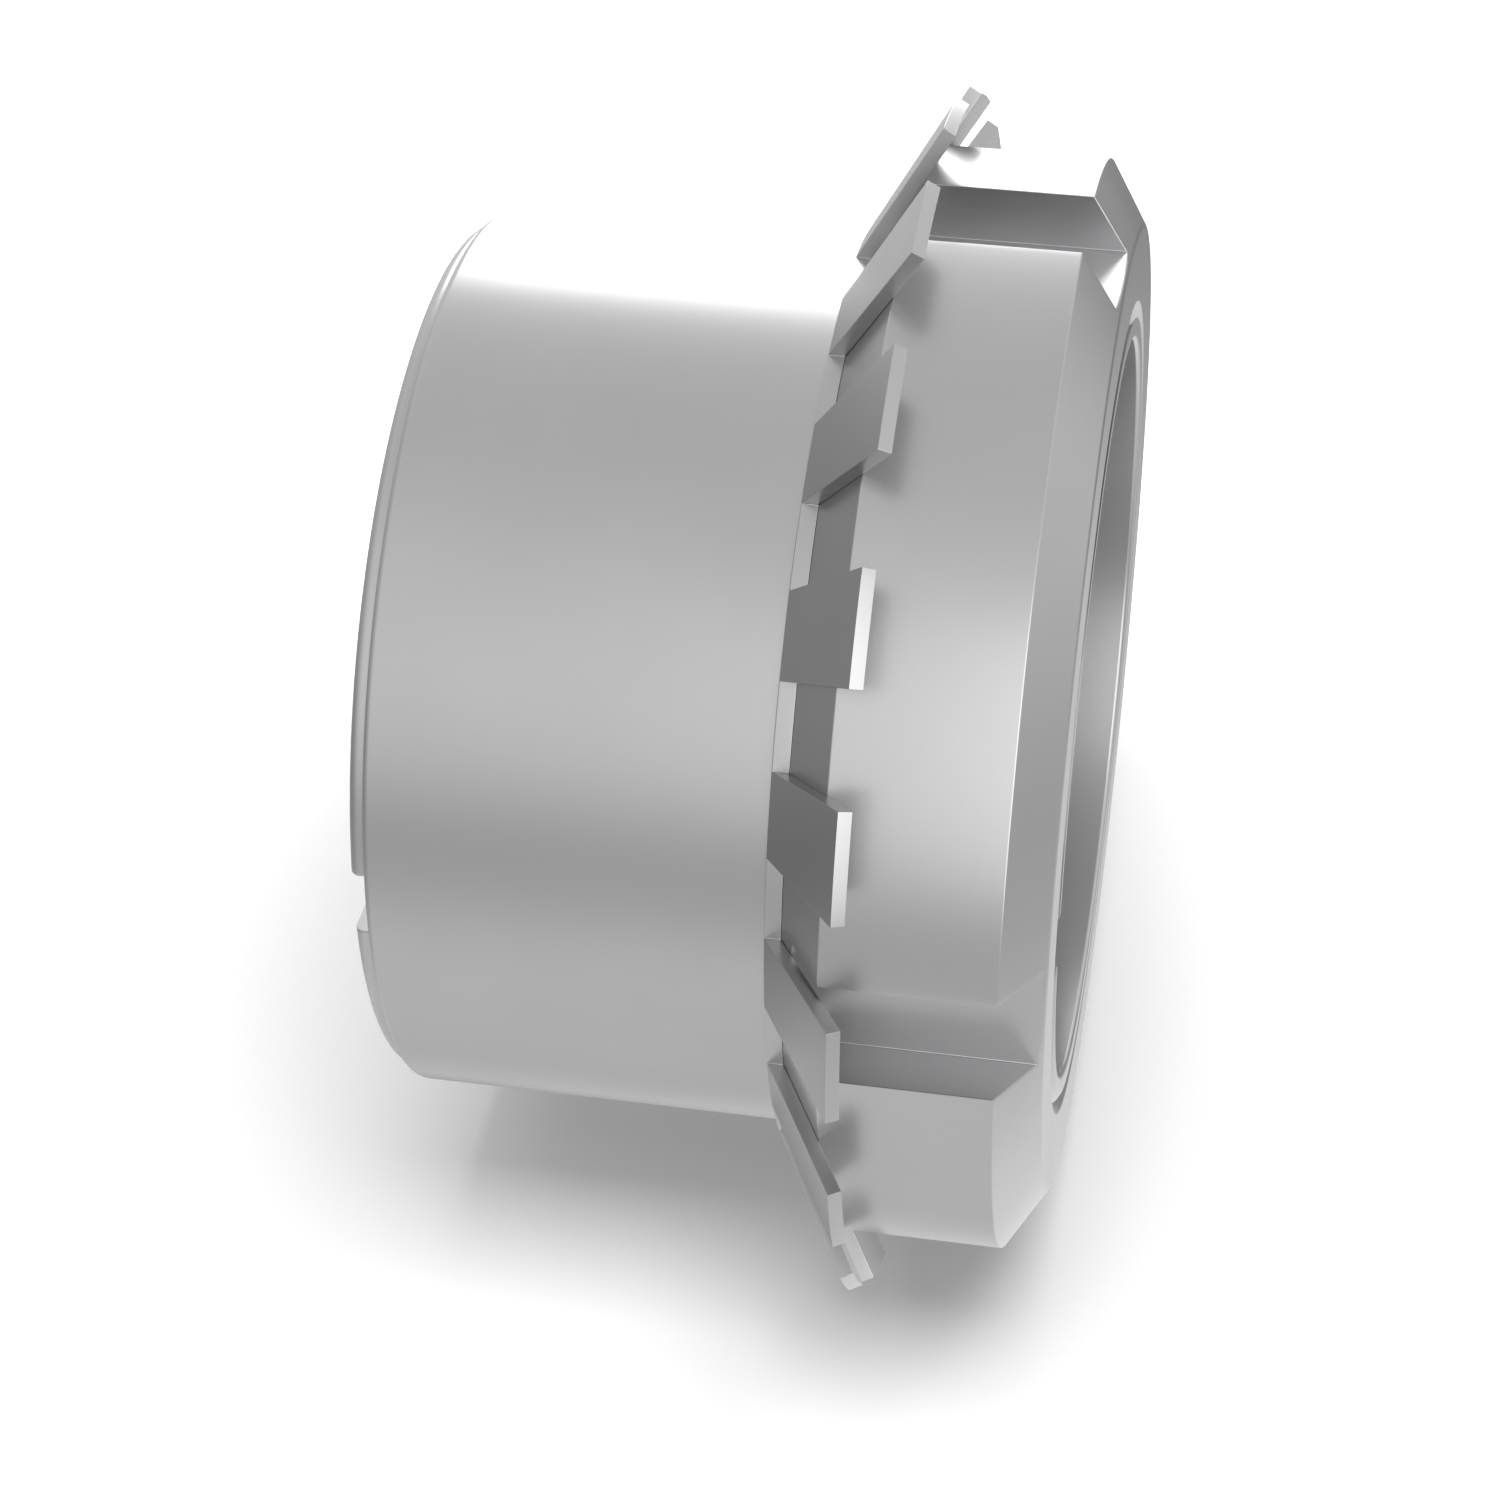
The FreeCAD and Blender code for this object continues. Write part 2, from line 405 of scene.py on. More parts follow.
class SteelPart(Protocol):
    """A piece of the assembly: it builds its mesh and dresses it."""

    finish: SteelFinish

    def build(self) -> bpy.types.Object:
        """Build the piece."""

    def dress(self, piece: bpy.types.Object, shop: "Finishing") -> None:
        """Give the piece its finishes."""


@dataclass
class InnerRing:
    """Ring that grips the shaft: slit, with a cone outside and a thread at the nut's end."""

    bore: float = 35.0
    bore_break: float = 0.4
    cone_foot: float = 40.95
    cone_slope: float = math.radians(4.0)
    foot_rounding: float = 0.9
    groove_foot: float = 34.6
    groove_radius: float = 36.27
    groove_rounding: float = 0.35
    thread_foot: float = 37.6
    thread_root: float = 36.3
    thread_flat: float = 0.25
    # The thread's cutter reaches past the crest, and its first groove lies below the thread, in the run-out
    cutter_height: float = 1.4
    cutter_lead: float = 1.3
    length: float = 62.2
    end_chamfer: float = 0.5
    half_slit: float = 3.1
    edge: float = 0.1
    columns: int = 300
    finish: SteelFinish = TURNED_STEEL
    # The bore's lighter colour is painted light in the bore, as well as a ground finish
    bore_finish_with_painted_light: SteelFinish = GROUND_STEEL_WITH_PAINTED_LIGHT
    slit_finish: SteelFinish = MILLED_STEEL

    def build(self) -> bpy.types.Object:
        """Turn the ring, saw its slit and cut its thread.

        Returns:
            The finished ring.
        """
        cone_top = self.cone_foot - self.groove_foot * math.tan(self.cone_slope)
        ring = turn_on_lathe("inner_ring_steel", [
            Corner(self.bore, 0.0, self.bore_break),
            Corner(self.cone_foot, 0.0, self.foot_rounding),
            Corner(cone_top, self.groove_foot),
            Corner(self.groove_radius, self.groove_foot, self.groove_rounding),
            Corner(self.groove_radius, self.thread_foot, self.groove_rounding),
            Corner(THREAD_CREST, self.thread_foot),
            Corner(THREAD_CREST, self.length - self.end_chamfer),
            Corner(THREAD_CREST - self.end_chamfer, self.length),
            Corner(self.bore, self.length, self.bore_break),
        ], self.columns)
        low = (-self.half_slit, -2.0 * self.cone_foot, -OVERSHOOT)
        high = (self.half_slit, 0.0, self.length + OVERSHOOT)
        combine(ring, add_block("slit", low, high), "DIFFERENCE")
        self.cut_thread(ring)
        break_edges(ring, self.edge, self.is_off_thread)
        smooth(ring)
        return ring

    def is_off_thread(self, point: Vector) -> bool:
        """Tell whether a point lies away from the thread."""
        is_below = point.z < (self.groove_foot + CORNER_TOLERANCE) * MM
        return is_below or point.xy.length < (self.groove_radius - CORNER_TOLERANCE) * MM

    def cut_thread(self, ring: bpy.types.Object) -> None:
        """Cut the outside thread, from its run-out groove to the free end.

        Args:
            ring: The turned ring.
        """
        first_groove = self.thread_foot - self.cutter_lead
        tool = add_thread_tool(
            Side.OUTSIDE, self.thread_root, self.thread_flat, self.cutter_height, first_groove)
        combine(ring, tool, "DIFFERENCE")

    def dress(self, ring: bpy.types.Object, shop: "Finishing") -> None:
        """Leave the ring as turned, grind its bore, whose lighter colour is partly painted light, and mill
        its slit.

        Args:
            ring: The finished ring.
            shop: The finishing shop.
        """
        shop.coat(ring, self.finish)
        shop.coat_some(ring, self.bore_finish_with_painted_light, self.is_in_bore)
        shop.coat_some(ring, self.slit_finish, self.is_in_slit)

    def is_in_bore(self, place: Vector) -> bool:
        """Tell whether a face's middle lies on the bore."""
        return place.xy.length < (self.bore + WALL_TOLERANCE) * MM

    def is_in_slit(self, place: Vector) -> bool:
        """Tell whether a face's middle lies on a wall of the slit."""
        return place.y < 0.0 and abs(place.x) < (self.half_slit + WALL_TOLERANCE) * MM


@dataclass
class TaperRing:
    """Ring that grips the hub: plain outside, taper bore on the cone, one slit."""

    foot: float = 1.5
    length: float = 36.1
    outside: float = 42.0
    bore_foot: float = 40.895
    bore_top: float = 38.371
    leading_rounding: float = 0.65
    leading_steps: int = 8
    chamfer: float = 0.3
    half_slit: float = 2.0
    edge: float = 0.08
    columns: int = 300
    finish: SteelFinish = TURNED_STEEL
    slit_finish: SteelFinish = MILLED_STEEL

    def build(self) -> bpy.types.Object:
        """Turn the ring and saw its slit.

        Returns:
            The finished ring.
        """
        top = self.foot + self.length
        ring = turn_on_lathe("taper_ring_steel", [
            Corner(self.bore_foot, self.foot),
            Corner(self.outside, self.foot, self.leading_rounding, self.leading_steps),
            Corner(self.outside, top - self.chamfer),
            Corner(self.outside - self.chamfer, top),
            Corner(self.bore_top + self.chamfer, top),
            Corner(self.bore_top, top - self.chamfer),
        ], self.columns)
        high = (self.half_slit, 2.0 * self.outside, top + OVERSHOOT)
        combine(ring, add_block("slit", (-self.half_slit, 0.0, 0.0), high), "DIFFERENCE")
        break_edges(ring, self.edge, lambda point: True)
        smooth(ring)
        return ring

    def dress(self, ring: bpy.types.Object, shop: "Finishing") -> None:
        """Leave the ring as turned and mill its slit.

        Args:
            ring: The finished ring.
            shop: The finishing shop.
        """
        shop.coat(ring, self.finish)
        shop.coat_some(ring, self.slit_finish, self.is_in_slit)

    def is_in_slit(self, place: Vector) -> bool:
        """Tell whether a face's middle lies on a wall of the slit."""
        return place.y > 0.0 and abs(place.x) < (self.half_slit + WALL_TOLERANCE) * MM


@dataclass
class TabWasher:
    """Sheet washer with tabs bent up around its rim and a key in the inner ring's slit."""

    foot: float = 37.6
    thickness: float = 1.5
    hole: float = 37.7
    rim: float = 44.15
    tab_count: int = 18
    half_tab: float = 5.0
    tab_length: float = 14.9
    tab_slope: float = math.radians(30.0)
    half_key: float = 2.9
    key_end: float = 35.5
    edge: float = 0.06
    columns: int = 360
    finish: SteelFinish = SHEET_STEEL

    def build(self) -> bpy.types.Object:
        """Stamp the ring, bend its tabs and add its key.

        Returns:
            The finished washer.
        """
        top = self.foot + self.thickness
        washer = turn_on_lathe("tab_washer_steel", [
            Corner(self.hole, self.foot),
            Corner(self.rim, self.foot),
            Corner(self.rim, top),
            Corner(self.hole, top),
        ], self.columns)
        self.draw_tabs(washer)
        low = (-self.half_key, -self.hole - OVERSHOOT, self.foot)
        high = (self.half_key, -self.key_end, top)
        combine(washer, add_block("key", low, high), "UNION")
        break_edges(washer, self.edge, lambda point: True)
        smooth(washer)
        return washer

    def is_in_tab(self, point: Vector) -> bool:
        """Tell whether a point lies within the angle of one tab.

        Args:
            point: A point of the washer.

        Returns:
            True within a tab.
        """
        spacing = 360.0 / self.tab_count
        # One tab faces -Y
        angle = math.degrees(math.atan2(point.x, -point.y))
        return abs((angle + spacing / 2.0) % spacing - spacing / 2.0) < self.half_tab

    def draw_tabs(self, washer: bpy.types.Object) -> None:
        """Draw the rim's faces out along the slope, and end each tab square to it.

        Args:
            washer: The plain ring.
        """
        make_active(washer)
        bpy.ops.object.mode_set(mode="EDIT")
        bpy.ops.mesh.select_mode(type="FACE")
        bpy.ops.mesh.select_all(action="DESELECT")
        bpy.ops.object.mode_set(mode="OBJECT")
        near_rim = (self.rim - CORNER_TOLERANCE) * MM
        for face in washer.data.polygons:
            face.select = face.center.xy.length > near_rim and self.is_in_tab(face.center)
        bpy.ops.object.mode_set(mode="EDIT")
        rise = self.tab_length * math.sin(self.tab_slope)
        reach = self.tab_length * math.cos(self.tab_slope)
        tip = self.rim + reach
        growth = tip / self.rim
        bpy.ops.mesh.extrude_region_move(TRANSFORM_OT_translate={"value": (0.0, 0.0, rise * MM)})
        bpy.ops.transform.resize(value=(growth, growth, 1.0), center_override=(0.0, 0.0, 0.0))
        # The faces are let go first, or they would take their lower corners along
        bpy.ops.mesh.select_all(action="DESELECT")
        bpy.ops.mesh.select_mode(type="VERT")
        bpy.ops.object.mode_set(mode="OBJECT")
        top_of_tip = self.foot + rise + self.thickness
        for vertex in washer.data.vertices:
            at_top = abs(vertex.co.z - top_of_tip * MM) < MERGE_DISTANCE
            vertex.select = at_top and vertex.co.xy.length > near_rim
        bpy.ops.object.mode_set(mode="EDIT")
        tab_thickness = self.thickness * math.cos(self.tab_slope)
        squared = tip - tab_thickness * math.sin(self.tab_slope)
        drop = self.thickness - tab_thickness * math.cos(self.tab_slope)
        bpy.ops.transform.translate(value=(0.0, 0.0, -drop * MM))
        bpy.ops.transform.resize(value=(squared / tip, squared / tip, 1.0), center_override=(0.0, 0.0, 0.0))
        close_up()

    def dress(self, washer: bpy.types.Object, shop: "Finishing") -> None:
        """Leave the washer as rolled and stamped.

        Args:
            washer: The finished washer.
            shop: The finishing shop.
        """
        shop.coat(washer, self.finish)


@dataclass
class SlottedNut:
    """Round nut that draws the taper ring along the cone, with four spanner slots."""

    foot: float = 39.1
    top: float = 62.2
    outside: float = 51.5
    foot_radius: float = 44.12
    foot_slope: float = math.radians(30.0)
    face_radius: float = 45.6
    face_rounding: float = 1.3
    shoulder: float = 58.55
    sink_radius: float = 38.55
    bore: float = 36.42
    thread_root: float = 37.6
    thread_flat: float = 0.4
    cutter_height: float = 1.3
    # The height of the inner ring's first groove, where it passes -Y
    ring_groove: float = 36.3
    slot_count: int = 4
    half_slot: float = 5.15
    slot_floor: float = 46.05
    slot_overshoot: float = 5.0
    edge: float = 0.1
    columns: int = 300
    column_offset: float = 0.6
    finish: SteelFinish = NUT_STEEL
    slot_finish: SteelFinish = MILLED_STEEL

    def build(self) -> bpy.types.Object:
        """Turn the nut, mill its slots and cut its thread.

        Returns:
            The finished nut.
        """
        sink_depth = self.sink_radius - self.bore
        shoulder_foot = self.foot + (self.outside - self.foot_radius) * math.tan(self.foot_slope)
        nut = turn_on_lathe("lock_nut_steel", [
            Corner(self.sink_radius, self.foot),
            Corner(self.foot_radius, self.foot),
            Corner(self.outside, shoulder_foot),
            Corner(self.outside, self.shoulder),
            Corner(self.face_radius, self.top, self.face_rounding),
            Corner(self.sink_radius, self.top),
            Corner(self.bore, self.top - sink_depth),
            Corner(self.bore, self.foot + sink_depth),
        ], self.columns, self.column_offset)
        for index in range(self.slot_count):
            self.mill_slot(nut, index)
        self.cut_thread(nut)
        break_edges(nut, self.edge, self.is_off_thread)
        smooth(nut)
        return nut

    def is_off_thread(self, point: Vector) -> bool:
        """Tell whether a point lies away from the thread."""
        return point.xy.length > (self.sink_radius - CORNER_TOLERANCE) * MM

    def mill_slot(self, nut: bpy.types.Object, index: int) -> None:
        """Mill one spanner slot through the nut's rim.

        Args:
            nut: The turned nut.
            index: The slot's number, counted from -Y.
        """
        low = (-self.half_slot, -self.outside - self.slot_overshoot, self.foot - OVERSHOOT)
        high = (self.half_slot, -self.slot_floor, self.top + OVERSHOOT)
        slot = add_block("slot", low, high)
        slot.rotation_euler = (0.0, 0.0, index * math.tau / self.slot_count)
        settle(slot)
        combine(nut, slot, "DIFFERENCE")

    def cut_thread(self, nut: bpy.types.Object) -> None:
        """Cut the inside thread, half a pitch away from the inner ring's grooves.

        Args:
            nut: The turned nut.
        """
        first_groove = self.ring_groove + THREAD_PITCH / 2.0
        tool = add_thread_tool(
            Side.INSIDE, self.thread_root, self.thread_flat, self.cutter_height, first_groove)
        combine(nut, tool, "DIFFERENCE")

    def dress(self, nut: bpy.types.Object, shop: "Finishing") -> None:
        """Leave the nut as turned, and its slots as milled.

        Args:
            nut: The finished nut.
            shop: The finishing shop.
        """
        shop.coat(nut, self.finish)
        shop.coat_some(nut, self.slot_finish, self.is_in_slot)

    def is_in_slot(self, place: Vector) -> bool:
        """Tell whether a face's middle lies on a wall or the floor of a slot."""
        aside = min(abs(place.x), abs(place.y))
        is_outside = place.xy.length > (self.slot_floor - WALL_TOLERANCE) * MM
        return is_outside and aside < (self.half_slot + WALL_TOLERANCE) * MM


@dataclass
class Graph:
    """The nodes of a material, a world or a node group."""

    tree: bpy.types.NodeTree

    def find(self, name: str) -> bpy.types.Node:
        """Fetch a node that the tree came with."""
        return self.tree.nodes[name]

    def add(self, kind: str, inputs: dict[str | int, object] | None = None,
            **settings: object) -> bpy.types.Node:
        """Add a node and feed its inputs.

        Args:
            kind: The node's type, without its prefix.
            inputs: A socket or a value for each named or numbered input.
            settings: The node's other settings.

        Returns:
            The node.
        """
        node = self.tree.nodes.new("ShaderNode" + kind)
        for name, value in settings.items():
            setattr(node, name, value)
        for key, value in (inputs or {}).items():
            self.feed(node.inputs[key], value)
        return node

    def feed(self, target: bpy.types.NodeSocket, value: object) -> None:
        """Link a socket to an input, or give the input a value.

        Args:
            target: The input.
            value: The socket or the value.
        """
        if isinstance(value, bpy.types.NodeSocket):
            self.tree.links.new(value, target)
        else:
            target.default_value = value

    def work_out(self, operation: str, *values: object) -> bpy.types.NodeSocket:
        """Add a Math node.

        Args:
            operation: What the node works out.
            values: A socket or a number for each input.

        Returns:
            The result's socket.
        """
        return self.add("Math", dict(enumerate(values)), operation=operation).outputs[0]

    def greatest(self, *values: bpy.types.NodeSocket) -> bpy.types.NodeSocket:
        """Find the greatest of two or more values.

        Args:
            values: The values' sockets.

        Returns:
            The result's socket.
        """
        result = values[-1]
        for value in reversed(values[:-1]):
            result = self.work_out("MAXIMUM", value, result)
        return result


def new_group(name: str, given: str, default: float, result: str) -> Graph:
    """Start a shader node group that works one value out from another.

    Args:
        name: The name of the group.
        given: The name of its input.
        default: The input's default.
        result: The name of its output.

    Returns:
        The group, with its input and output nodes.
    """
    group = bpy.data.node_groups.new(name, "ShaderNodeTree")
    socket = group.interface.new_socket(name=given, in_out="INPUT", socket_type="NodeSocketFloat")
    socket.default_value = default
    group.interface.new_socket(name=result, in_out="OUTPUT", socket_type="NodeSocketFloat")
    group.nodes.new("NodeGroupInput")
    group.nodes.new("NodeGroupOutput")
    return Graph(group)


def turned_marks_group() -> bpy.types.NodeTree:
    """Make the fine rings that a lathe tool leaves, around the Z axis.

    Returns:
        A group with the marks' height.
    """
    graph = new_group("Turned Marks", "Spacing", MARK_SPACING, "Height")
    place = graph.add("TexCoord")
    x, y, z = graph.add("SeparateXYZ", {0: place.outputs["Object"]}).outputs
    squares = graph.work_out("ADD", graph.work_out("MULTIPLY", x, x), graph.work_out("MULTIPLY", y, y))
    radius = graph.work_out("SQRT", squares)
    density = graph.work_out("DIVIDE", 1.0 / MM, graph.find("Group Input").outputs["Spacing"])
    # A mark changes slowly around the axis, and meets itself after a turn
    across = graph.add("CombineXYZ", {
        0: graph.work_out("MULTIPLY", radius, density),
        1: graph.work_out("MULTIPLY", z, density),
        2: graph.work_out("DIVIDE", x, radius),
    })
    noise = graph.add("TexNoise", {
        "Vector": across.outputs[0],
        "W": graph.work_out("DIVIDE", y, radius),
        "Scale": 1.0,
        "Detail": 2.0,
    }, noise_dimensions="4D")
    graph.feed(graph.find("Group Output").inputs["Height"], noise.outputs["Fac"])
    return graph.tree


def straight_marks_group(name: str, stretch_scale: tuple[float, float, float]) -> bpy.types.NodeTree:
    """Make the fine straight streaks that rolling or milling leaves.

    Args:
        name: The name of the group.
        stretch_scale: The pattern's scale along each axis, small along the streaks.

    Returns:
        A group with the streaks' height.
    """
    graph = new_group(name, "Spacing", MARK_SPACING, "Height")
    place = graph.add("TexCoord")
    stretch = graph.add("Mapping", {"Scale": stretch_scale, "Vector": place.outputs["Object"]})
    noise = graph.add("TexNoise", {
        "Vector": stretch.outputs[0],
        "Scale": graph.work_out("DIVIDE", 1.0 / MM, graph.find("Group Input").outputs["Spacing"]),
        "Detail": 3.0,
    })
    graph.feed(graph.find("Group Output").inputs["Height"], noise.outputs["Fac"])
    return graph.tree


def handling_group() -> bpy.types.NodeTree:
    """Make the faint cloudy film of oil and handling that every steel piece has.

    Returns:
        A group with the film's strength.
    """
    graph = new_group("Handling", "Size", FILM_SIZE, "Film")
    place = graph.add("TexCoord")
    noise = graph.add("TexNoise", {
        "Vector": place.outputs["Object"],
        "Scale": graph.work_out("DIVIDE", 1.0 / MM, graph.find("Group Input").outputs["Size"]),
        "Detail": 4.0,
        "Roughness": 0.45,
    })
    spread = graph.add("MapRange", {"Value": noise.outputs["Fac"], "From Min": 0.3, "From Max": 0.7})
    graph.feed(graph.find("Group Output").inputs["Film"], spread.outputs[0])
    return graph.tree


@dataclass
class Finishing:
    """The finishing shop: the shared node groups, and the materials made from them."""

    marks: dict[Lay, bpy.types.NodeTree]
    handling: bpy.types.NodeTree
    made: dict[str, bpy.types.Material] = field(default_factory=dict)

    def coat(self, piece: bpy.types.Object, finish: SteelFinish) -> None:
        """Give a whole piece one finish.

        Args:
            piece: The piece.
            finish: Its finish.
        """
        piece.data.materials.clear()
        piece.data.materials.append(self.material(finish))
        for face in piece.data.polygons:
            face.material_index = 0

    def coat_some(self, piece: bpy.types.Object, finish: SteelFinish,
                  belongs: Callable[[Vector], bool]) -> None:
        """Give some faces of a piece another finish.

        Args:
            piece: The piece.
            finish: The other finish.
            belongs: Tells from a face's middle, in metres, whether it gets the finish.
        """
        piece.data.materials.append(self.material(finish))
        index = len(piece.data.materials) - 1
        for face in piece.data.polygons:
            if belongs(face.center):
                face.material_index = index

    def material(self, finish: SteelFinish) -> bpy.types.Material:
        """Fetch the material of one finish, which is made once."""
        if finish.name not in self.made:
            self.made[finish.name] = self.make(finish)
        return self.made[finish.name]

    def make(self, finish: SteelFinish) -> bpy.types.Material:
        """Make the material of one finish.

        Args:
            finish: The finish.

        Returns:
            A procedural steel.
        """
        material = bpy.data.materials.new(finish.name + "_surface")
        material.use_nodes = True
        graph = Graph(material.node_tree)
        steel = graph.find("Principled BSDF")
        graph.feed(steel.inputs["Metallic"], 1.0)
        marks = graph.add("Group", node_tree=self.marks[finish.lay])
        graph.feed(marks.inputs["Spacing"], finish.mark_spacing)
        film = graph.add("Group", node_tree=self.handling).outputs["Film"]
        # The colour mix has its factor first, and its two colours and their result further on
        tone = graph.add("Mix", data_type="RGBA")
        for index, value in ((0, film), (6, (*finish.colour, 1.0)), (7, (*finish.shade, 1.0))):
            graph.feed(tone.inputs[index], value)
        graph.feed(steel.inputs["Base Color"], tone.outputs[2])
        low = finish.roughness - finish.roughness_swing / 2.0
        blurred = graph.work_out("MULTIPLY_ADD", film, finish.roughness_swing, low)
        graph.feed(steel.inputs["Roughness"], blurred)
        bump = graph.add("Bump", {
            "Strength": 1.0,
            "Distance": finish.mark_depth * MM,
            "Height": marks.outputs["Height"],
        })
        graph.feed(steel.inputs["Normal"], bump.outputs["Normal"])
        return material


@dataclass(frozen=True)
class SoftBox:
    """A soft box that faces the part.

    Its direction is in degrees, the azimuth from +X towards +Y. A brightness of 1 is a white surface.
    """

    name: str
    azimuth: float
    elevation: float
    distance: float
    width: float
    height: float
    brightness: float

    def add(self, aim: Vector) -> bpy.types.Object:
        """Add the lamp, which the camera doesn't see.

        Args:
            aim: The place that it faces, in millimetres.

        Returns:
            The lamp.
        """
        turn, rise = math.radians(self.azimuth), math.radians(self.elevation)
        level = math.cos(rise)
        direction = Vector((math.cos(turn) * level, math.sin(turn) * level, math.sin(rise)))
        clear_selection()
        bpy.ops.object.light_add(type="AREA")
        lamp = bpy.context.object
        lamp.name = self.name
        lamp.location = (aim + direction * self.distance) * MM
        lamp.rotation_mode = "QUATERNION"
        lamp.rotation_quaternion = direction.to_track_quat("Z", "Y")
        lamp.data.shape = "RECTANGLE"
        lamp.data.size = self.width * MM
        lamp.data.size_y = self.height * MM
        # A lamp of four watts looks white where its surface is one square metre
        lamp.data.energy = self.brightness * 4.0 * lamp.data.size * lamp.data.size_y
        lamp.visible_camera = False
        return lamp


@dataclass
class Studio:
    """Pale paper, soft lamps, white surroundings and the camera."""

    # The camera is level with the part and rolled, so that the shaft runs across the picture
    camera_place: tuple[float, float, float] = (-201.21, -282.88, 80.04)
    camera_right: tuple[float, float, float] = (0.00417, 0.1764, 0.98431)
    camera_up: tuple[float, float, float] = (-0.80722, 0.58159, -0.1008)
    camera_back: tuple[float, float, float] = (-0.59024, -0.79413, 0.14482)
    camera_reach: tuple[float, float] = (10.0, 20000.0)
    lens: float = 87.513
    sensor: float = 36.0
    paper_size: float = 3000.0
    paper_wall: float = 58.0
    paper_colour: float = 0.8
    paper_lift: float = 0.19
    # Around this middle the paper glows only as much as its lift, painted shade about the part's shadow, and
    # it grows to white further off
    painted_shade_middle: tuple[float, float, float] = (58.0, -2.6, 18.3)
    fade_start: float = 41.6
    fade_end: float = 195.0
    lamp_aim: tuple[float, float, float] = (0.0, 0.0, 31.0)
    # The first two lamps light the paper alone, and the other two only show in the steel
    paper_lamps: tuple[SoftBox, ...] = (
        SoftBox("shadow_lamp", -154.7, 7.3, 1200.0, 523.0, 523.0, 11.6),
        SoftBox("side_lamp", -149.9, -9.0, 1200.0, 641.0, 641.0, 1.9),
    )
    steel_lamps: tuple[SoftBox, ...] = (
        SoftBox("edge_lamp", 108.0, -5.0, 300.0, 260.0, 160.0, 2.6),
        SoftBox("front_lamp", -114.0, 30.0, 300.0, 300.0, 300.0, 1.1),
    )
    room_light: float = 0.26
    # Where the ceiling is for the tilted camera, and how bright the room's bands are from floor to ceiling
    room_up: tuple[float, float, float] = (-0.994, 0.107, -0.015)
    room_bands: tuple[tuple[float, float], ...] = (
        (0.0, 0.88),
        (0.11, 1.1),
        (0.213, 0.74),
        (0.33, 0.58),
        (0.42, 0.82),
        (0.53, 1.1),
        (0.735, 1.14),
        (0.883, 1.06),
        (0.965, 0.9),
        (1.0, 0.88),
    )
    brightest_band: float = 1.25
    # In order: a dark corner that the nut's rounding mirrors, a dark part above it that the chamfer mirrors,
    # a pale part beside them, the dark foot of the far wall, which darkens the lower outline, a pale part for
    # the lower chamfer, a dull one for the lowest edges, and the side below the large end
    room_patches: tuple[RoomPatch, ...] = (
        RoomPatch((0.34, 0.935, 0.104), 0.97, 0.99, 0.32),
        RoomPatch((0.262, 0.807, 0.53), 0.955, 0.985, 0.35),
        RoomPatch((0.64, 0.765, 0.055), 0.965, 0.99, 1.2),
        RoomPatch((0.64, 0.715, -0.28), 0.955, 0.985, 0.25),
        RoomPatch((0.727, 0.555, 0.404), 0.8, 0.93, 1.14),
        RoomPatch((0.924, 0.298, -0.239), 0.93, 0.975, 0.84),
        RoomPatch((0.0, 0.0, -1.0), 0.5, 1.0, 0.6),
    )

    def build(self) -> None:
        """Set up the camera, the paper, the surroundings and the lamps."""
        self.place_camera()
        self.lay_paper()
        self.light_surroundings()
        aim = Vector(self.lamp_aim)
        for box in self.paper_lamps:
            box.add(aim).visible_glossy = False
        for box in self.steel_lamps:
            box.add(aim).visible_diffuse = False
        bpy.context.scene.view_settings.view_transform = "Standard"

    def place_camera(self) -> None:
        """Add the camera at the photograph's viewpoint."""
        clear_selection()
        bpy.ops.object.camera_add()
        camera = bpy.context.object
        camera.name = "camera"
        place = tuple(part * MM for part in self.camera_place)
        matrix = camera.matrix_world.copy()
        for column, axis in enumerate((self.camera_right, self.camera_up, self.camera_back, place)):
            for row in range(3):
                matrix[row][column] = axis[row]
        camera.matrix_world = matrix
        camera.data.lens = self.lens
        camera.data.sensor_width = self.sensor
        camera.data.clip_start, camera.data.clip_end = (reach * MM for reach in self.camera_reach)
        bpy.context.scene.camera = camera

    def lay_paper(self) -> bpy.types.Object:
        """Stand a sheet of paper beside the part, on the side that the rolled camera sees as below it.

        Returns:
            The paper, facing the part.
        """
        clear_selection()
        bpy.ops.mesh.primitive_plane_add(size=self.paper_size * MM)
        paper = bpy.context.object
        paper.name = "studio_paper"
        bpy.ops.object.mode_set(mode="EDIT")
        upright = math.radians(90.0)
        bpy.ops.transform.rotate(value=upright, orient_axis="Y", center_override=(0.0, 0.0, 0.0))
        bpy.ops.transform.translate(value=(self.paper_wall * MM, 0.0, 0.0))
        bpy.ops.object.mode_set(mode="OBJECT")
        self.face_part(paper)
        paper.data.materials.append(self.make_paper())
        # Steel reflects the white room in the paper's place, so that no side of the part is dull
        paper.visible_glossy = False
        return paper

    def face_part(self, paper: bpy.types.Object) -> None:
        """Turn the paper's front to the part.

        Args:
            paper: The paper.
        """
        if paper.data.polygons[0].normal.x > 0.0:
            make_active(paper)
            bpy.ops.object.mode_set(mode="EDIT")
            bpy.ops.mesh.select_all(action="SELECT")
            bpy.ops.mesh.flip_normals()
            bpy.ops.object.mode_set(mode="OBJECT")

